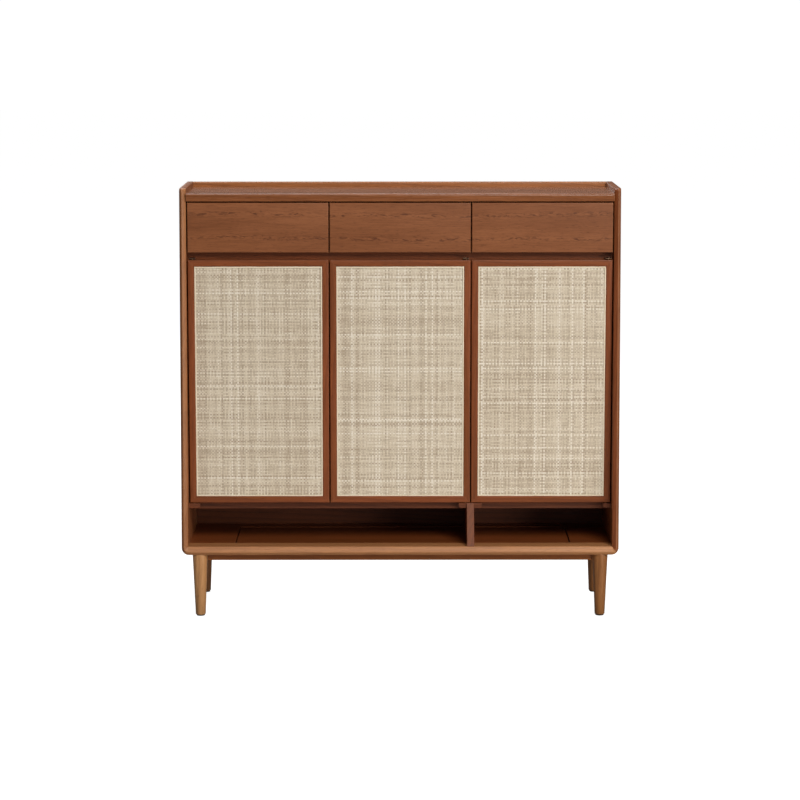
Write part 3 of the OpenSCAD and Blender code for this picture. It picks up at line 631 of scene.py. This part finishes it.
# Boards inside the cabinet, its niche and behind the doors take the darker inside stain: painted shade
DARK_X = ("inside", "inside", 0.8)
BOARDS = {
    "top_panel": ("top", "arris_x", 0.5),
    "gallery": ("gallery", "arris_x", 0.8),
    "base_rear": FLOOR_X,
    "base_centre": FLOOR_X,
    "base_end_left": FLOOR_X,
    "base_end_right": FLOOR_X,
    "apron_front": ("apron", "apron", 0.8),
    "apron_back": ("apron", "apron", 0.8),
    "apron_sides": ("board_y", "board_y", 0.8),
    "niche_divider": ("niche_upright", "niche_upright", 1.0),
    "divider": ("inside_z", "inside_z", 0.8),
    "floor_left": DARK_X,
    "floor_right": DARK_X,
    "corner_blocks": ("inside", "inside", 0.6),
    "mid_rail": ("rail", "rail", 0.8),
    "deck": DARK_X,
    "drawer_partitions": ("inside", "inside", 0.8),
    "drawer_runners": ("bare", "bare", 0.6),
    "back_panel": ("inside", "inside", 0.4),
    "shelves_wide": DARK_X,
    "shelves_narrow": DARK_X,
    "leg_bolts": ("steel", "steel", 0.4),
    "top_brackets": ("steel", "steel", 0.3),
    "shelf_pins": ("steel", "steel", 0.4),
    "foot_pads": ("felt", "felt", 0.5),
    "catch_magnets": ("abs", "abs", 0.6),
}
SIDES = ("left", "centre", "right")
for side in SIDES:
    BOARDS[f"door_{side}_stiles"] = ("stile", "arris_z", 0.5)
    BOARDS[f"door_{side}_rails"] = ("rail", "arris_x", 0.5)
    BOARDS[f"door_{side}_pivots"] = ("steel", "steel", 0.3)
    BOARDS[f"drawer_{side}_front"] = ("drawer_face", "front_arris", 0.8)
    BOARDS[f"drawer_{side}_sides"] = ("bare", "bare", 0.6)
    BOARDS[f"drawer_{side}_back"] = ("bare_x", "bare_x", 0.6)
    BOARDS[f"drawer_{side}_bottom"] = ("bare_x", "bare_x", 0.4)
for node, (face, arris, radius) in BOARDS.items():
    finished(node, finish[face], finish[arris], radius)


FOOT_R = 13.7 * MM
# How much is cut off the straight taper, as (height or depth in mm, cut in mm): the eased foot, counted
# up from the floor, then the small shoulder, counted down from the top
FOOT_CUTS = ((0.0, 1.8), (0.5, 0.9), (1.2, 0.3), (2.2, 0.0), (40, 0.0), (90, 0.0), (140, 0.0))
SHOULDER_CUTS = ((1.6, 0.0), (0.7, 0.15), (0.0, 0.8))
LEG_SIDES = 72


def build_leg(node, wood):
    """A leg turned on the lathe: a straight taper with an eased foot and a small shoulder at the top."""
    lo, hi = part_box(node)
    middle = (lo + hi) / 2
    top_r = (hi.x - lo.x) / 2
    height = hi.z - lo.z
    taper = (top_r - FOOT_R) / height
    profile = []
    for up, cut in FOOT_CUTS:
        profile.append((FOOT_R + taper * up * MM - cut * MM, lo.z + up * MM))
    for down, cut in SHOULDER_CUTS:
        profile.append((FOOT_R + taper * (height - down * MM) - cut * MM, hi.z - down * MM))
    sections = []
    for r, z in profile:
        ring = []
        for i in range(LEG_SIDES):
            angle = 2 * math.pi * i / LEG_SIDES
            ring.append((middle.x + r * math.cos(angle), middle.y + r * math.sin(angle), z))
        sections.append(ring)
    return place(piece_from(node + "_turned", loft(node + "_turned", sections), wood), node)


for hand in ("left", "right"):
    build_leg(f"leg_front_{hand}", finish["leg_" + hand])
    # The back legs take the darker leg stain as painted shade
    build_leg(f"leg_back_{hand}", finish["leg_right"])


# ---- woven doors ----

# A strand every 4.4 mm both ways: a finer weave than this would not show as strands
PITCH = 4.4 * MM
# Half a strand's thickness, and how far a strand swings to either side of the sheet's middle
STRAND_HALF_T = 0.30 * MM
SWING = 0.52 * MM
# Each strand's width in mm, slip from its line in mm, and the length in metres of its slow waves
STRAND_WIDTHS = (3.5, 4.2)
STRAND_SLIPS = (-0.2, 0.2)
WAVE_LENGTHS = (0.12, 0.35)
WAVE_SWING = 0.25 * MM
# A few strands are pale and a few dark; the rest are anywhere between, in these shares
PALE_STRAND = 0.05
PLAIN_STRANDS = (0.3, 0.8)
DARK_STRAND = 0.85
STRAND_SHARES = (8, 86, 6)


def strands(count, first, pitch, run, run_pitch, flip):
    """Corner points of woven strands as an array (strand, point, corner, (across, depth, along)).

    Strand i lies at first + i * pitch and runs from run[0] to run[1]. It passes over one crossing strand
    and under the next, run_pitch apart; flip says which comes first. Each strand has its own width, wanders
    a little from its line, and has one tone for its whole length.
    """
    steps = int(round((run[1] - run[0]) / run_pitch)) * 2
    along = np.linspace(run[0], run[1], steps + 1)
    corners = np.zeros((count, steps + 1, 4, 3))
    tones = np.zeros((count, steps + 1, 4))
    for i in range(count):
        width = rng.uniform(*STRAND_WIDTHS) * MM
        phase = rng.uniform(0, 2 * math.pi)
        length = rng.uniform(*WAVE_LENGTHS)
        line = first + i * pitch + rng.uniform(*STRAND_SLIPS) * MM
        wander = line + WAVE_SWING * np.sin(2 * math.pi * along / length + phase)
        depth = flip * (-1) ** i * SWING * np.cos(math.pi * np.arange(steps + 1) / 2 - math.pi / 2)
        for k, (across, out) in enumerate(((-0.5, 0.0), (0.0, -1.0), (0.5, 0.0), (0.0, 1.0))):
            corners[i, :, k, 0] = wander + across * width
            corners[i, :, k, 1] = depth + out * STRAND_HALF_T
            corners[i, :, k, 2] = along
        choices = (PALE_STRAND, rng.uniform(*PLAIN_STRANDS), DARK_STRAND)
        tones[i] = rng.choices(choices, STRAND_SHARES)[0]
    return corners, tones


def strand_mesh(name, corners, tones, axes):
    """One mesh of all strands; axes puts (across, depth, along) into X, Y and Z."""
    count, points = corners.shape[:2]
    verts = corners.reshape(-1, 3)[:, axes]
    base = np.arange(count * points * 4).reshape(count, points, 4)
    low = base[:, :-1]
    high = base[:, 1:]
    quads = np.stack([low, np.roll(low, -1, axis=2), np.roll(high, -1, axis=2), high], axis=-1)
    caps = np.concatenate([base[:, 0, ::-1], base[:, -1]])
    faces = np.concatenate([quads.reshape(-1, 4), caps])
    mesh = bpy.data.meshes.new(name)
    mesh.from_pydata(verts.tolist(), [], faces.tolist())
    tone = mesh.attributes.new("strand", "FLOAT", "POINT")
    tone.data.foreach_set("value", tones.ravel().astype(np.float32))
    shape = bmesh.new()
    shape.from_mesh(mesh)
    bmesh.ops.recalc_face_normals(shape, faces=shape.faces)
    shape.to_mesh(mesh)
    shape.free()
    return mesh


def build_weave(side):
    """The woven sheet of a door, as upright and level strands that pass over and under each other."""
    node = f"door_{side}_rattan"
    lo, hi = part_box(node)
    across_n = int((hi.x - lo.x) / PITCH)
    up_n = int((hi.z - lo.z) / PITCH)
    pitch_x = (hi.x - lo.x) / across_n
    pitch_z = (hi.z - lo.z) / up_n
    middle_y = (lo.y + hi.y) / 2
    for kind, count, first, pitch, run, run_pitch, flip, axes in (
        ("warp", across_n, lo.x + pitch_x / 2, pitch_x, (lo.z, hi.z), pitch_z, 1, [0, 1, 2]),
        ("weft", up_n, lo.z + pitch_z / 2, pitch_z, (lo.x, hi.x), pitch_x, -1, [2, 1, 0]),
    ):
        corners, tones = strands(count, first, pitch, run, run_pitch, flip)
        limits = (lo.x, hi.x) if kind == "warp" else (lo.z, hi.z)
        corners[..., 0] = np.clip(corners[..., 0], *limits)
        corners[..., 1] += middle_y
        mesh = strand_mesh(f"{node}_{kind}", corners, tones, axes)
        piece = piece_from(f"{node}_{kind}", mesh, finish[kind], crease=100)
        place(piece, node)


CANE_WIDTH = 4.0 * MM
# Half-round section, as shares of the width and of the depth behind the foremost line
CANE_SECTION = ((0.0, 1.0), (0.0, 0.55), (0.08, 0.3), (0.22, 0.1), (0.4, 0.0),
                (0.6, 0.0), (0.78, 0.1), (0.92, 0.3), (1.0, 0.55), (1.0, 1.0))


def build_border(side):
    """Half-round cane strip laid over the edge of the weave, mitred at the corners."""
    node = f"door_{side}_spline"
    lo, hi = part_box(node)
    depth = hi.y - lo.y
    shape = bmesh.new()
    rings = []
    for across, back in CANE_SECTION:
        u = across * CANE_WIDTH
        y = lo.y + back * depth
        spots = ((lo.x + u, lo.z + u), (hi.x - u, lo.z + u), (hi.x - u, hi.z - u), (lo.x + u, hi.z - u))
        rings.append([shape.verts.new((x, y, z)) for x, z in spots])
    for k in range(len(rings)):
        here = rings[k]
        after = rings[(k + 1) % len(rings)]
        for i in range(4):
            n = (i + 1) % 4
            shape.faces.new((here[i], here[n], after[n], after[i]))
    bmesh.ops.recalc_face_normals(shape, faces=shape.faces)
    mesh = bpy.data.meshes.new(node + "_cane")
    shape.to_mesh(mesh)
    shape.free()
    return place(piece_from(node + "_cane", mesh, finish["cane"], crease=60), node)


for side in SIDES:
    build_weave(side)
    build_border(side)


# ---- floor, light and camera ----

PAPER_CLOUD_TONE = "A2A2A1"
# Soft clouds about half a metre across, in repeats a metre
PAPER_CLOUDS = 2.0


def pale_paper(name, tone, glow):
    """Matt pale paper, evenly lit from behind so that it reads white, with a faint unevenness."""
    material, output = new_material(name)
    t = material.node_tree
    spot = add(t, "ShaderNodeTexCoord").outputs["Object"]
    cloud = add(t, "ShaderNodeTexNoise", {"Vector": spot, "Scale": PAPER_CLOUDS, "Detail": 1.0})
    colour = add(t, "ShaderNodeMix", {0: cloud.outputs["Fac"], 6: linear(tone),
                                      7: linear(PAPER_CLOUD_TONE)}, data_type="RGBA")
    surface = add(t, "ShaderNodeBsdfPrincipled", {"Base Color": colour.outputs[2], "Roughness": 0.9,
                                                  "Specular IOR Level": 0.0,
                                                  "Emission Color": (1.0, 1.0, 1.0, 1.0),
                                                  "Emission Strength": glow})
    t.links.new(surface.outputs[0], output.inputs[0])
    return material


FLOOR_REACH = 39.0
FLOOR_TONE = "9E9E9D"
FLOOR_GLOW = 0.955
DOME_R = 42.0
DOME_TONE = "101010"
DOME_GLOW = 1.0


def build_backdrop():
    """A wide floor inside a white dome. Neither lights the cabinet: the studio air does that evenly."""
    floor = bpy.data.meshes.new("studio_floor")
    corners = [(x * FLOOR_REACH, y * FLOOR_REACH, 0) for x, y in ((-1, -1), (1, -1), (1, 1), (-1, 1))]
    floor.from_pydata(corners, [], [(0, 1, 2, 3)])
    floor_piece = piece_from("studio_floor", floor, pale_paper("pale_paper_floor", FLOOR_TONE, FLOOR_GLOW))
    shape = bmesh.new()
    bmesh.ops.create_icosphere(shape, subdivisions=4, radius=DOME_R)
    dome = bpy.data.meshes.new("studio_dome")
    shape.to_mesh(dome)
    shape.free()
    dome_piece = piece_from("studio_dome", dome, pale_paper("pale_paper_dome", DOME_TONE, DOME_GLOW))
    for piece in (floor_piece, dome_piece):
        piece.visible_diffuse = False
        piece.visible_glossy = False
        piece.visible_transmission = False
        piece.visible_shadow = False


build_backdrop()


def softbox(name, spot, aim, width, height, power, tint, mirrored=True):
    """A rectangular area light at spot, turned towards aim, with its sizes in metres and power in watts.

    The lacquer mirrors it unless mirrored is False.
    """
    data = bpy.data.lights.new(name, "AREA")
    data.shape = "RECTANGLE"
    data.size = width
    data.size_y = height
    data.energy = power
    data.color = linear(tint)[:3]
    lamp = bpy.data.objects.new(name, data)
    lamp.location = spot
    lamp.rotation_euler = (Vector(aim) - Vector(spot)).to_track_quat("-Z", "Y").to_euler()
    lamp.visible_camera = False
    lamp.visible_glossy = mirrored
    bpy.context.scene.collection.objects.link(lamp)


WARM = "FFF8F0"
WHITE = "FFFFFF"
FLOOR_TINT = "FFF0E2"
# The key, high and a little to the right of the front, gives the fronts their light and the niche its shade
softbox("key_softbox", (1.8, -4.8, 4.1), (0.0, 0.0, 0.7), 2.4, 2.4, 236, WARM)
# A low one on the right reaches into the niche, under its ceiling
softbox("low_softbox", (4.2, -4.6, 0.7), (0.0, 0.0, 0.5), 2.0, 2.0, 75, WARM)
# The top and the back get theirs from above and from behind
softbox("overhead_softbox", (-0.4, 1.0, 4.4), (0.0, 0.0, 1.0), 2.4, 2.4, 90, WHITE)
softbox("rear_softbox", (-3.0, 4.4, 2.8), (0.0, 0.0, 0.6), 3.2, 3.2, 130, WHITE)
# What the pale floor in front of the cabinet throws back up
softbox("floor_bounce", (0.0, -0.75, 0.02), (0.0, -0.75, 1.0), 2.8, 0.9, 4.4, FLOOR_TINT, mirrored=False)

# The room's even light, kept low so that the lacquer stays clear of haze
AIR_LIGHT = 0.13
world = bpy.data.worlds.new("studio_air")
world.use_nodes = True
air = world.node_tree.nodes["Background"]
air.inputs["Color"].default_value = linear(WHITE)
air.inputs["Strength"].default_value = AIR_LIGHT
bpy.context.scene.world = world
# Colours come out as they are set, without a film curve
bpy.context.scene.view_settings.view_transform = "Standard"

# A long lens from far in front and half a metre above the cabinet's top, aimed at the cabinet's middle
LENS = 121.4
SENSOR = 36
SEES_AS_FAR_AS = 60
CAMERA_SPOT = Vector((-0.028, -7.45, 1.649))
CAMERA_AIM = Vector((0.0, 0.0, 0.578))
camera_data = bpy.data.cameras.new("camera")
camera_data.lens = LENS
camera_data.sensor_width = SENSOR
camera_data.clip_end = SEES_AS_FAR_AS
camera = bpy.data.objects.new("camera", camera_data)
camera.location = CAMERA_SPOT
camera.rotation_euler = (CAMERA_AIM - CAMERA_SPOT).to_track_quat("-Z", "Y").to_euler()
bpy.context.scene.collection.objects.link(camera)
bpy.context.scene.camera = camera
